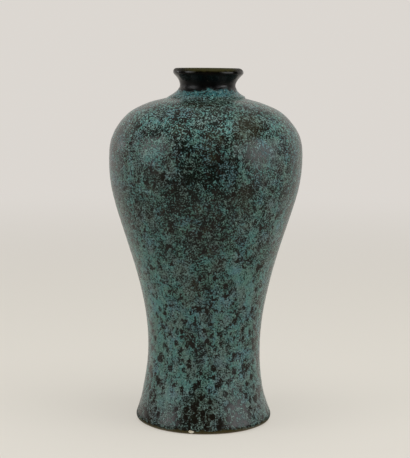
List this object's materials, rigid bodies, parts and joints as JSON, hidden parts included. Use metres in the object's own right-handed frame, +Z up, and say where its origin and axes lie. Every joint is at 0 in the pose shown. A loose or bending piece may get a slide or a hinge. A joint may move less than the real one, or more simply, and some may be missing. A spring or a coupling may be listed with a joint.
{
  "type": "meiping vase",
  "caption": "Tall meiping vase: spreading foot, narrow waist, broad shoulder, short flared neck with a rolled lip, in a mottled blue-green glaze over a dark base coat.",
  "frame": {"origin": "middle of the foot ring's standing face, on the surface that the vase stands on", "axes": "+Z up along the vase's axis, -Y towards the front, where the picture was taken; the foot's chip is left of the front"},
  "size_m": [0.136, 0.136, 0.25],
  "materials": {
    "stoneware": "fired bare clay, fine grained",
    "luting_slip": "fired slip, matt",
    "dark_glaze": "glossy brown-black iron glaze",
    "mottled_glaze": "satin, speckled blue-green over brown-black",
    "lining_glaze": "thin glossy brown glaze"
  },
  "bodies": {
    "root": {"lower_body": "stoneware", "shoulder_body": "stoneware", "neck_and_mouth": "stoneware", "belly_seam_slip": "luting_slip", "neck_seam_slip": "luting_slip", "dark_base_glaze": "dark_glaze", "mottled_top_glaze": "mottled_glaze", "interior_glaze": "lining_glaze", "underside_glaze": "lining_glaze"}
  },
  "joints": []
}
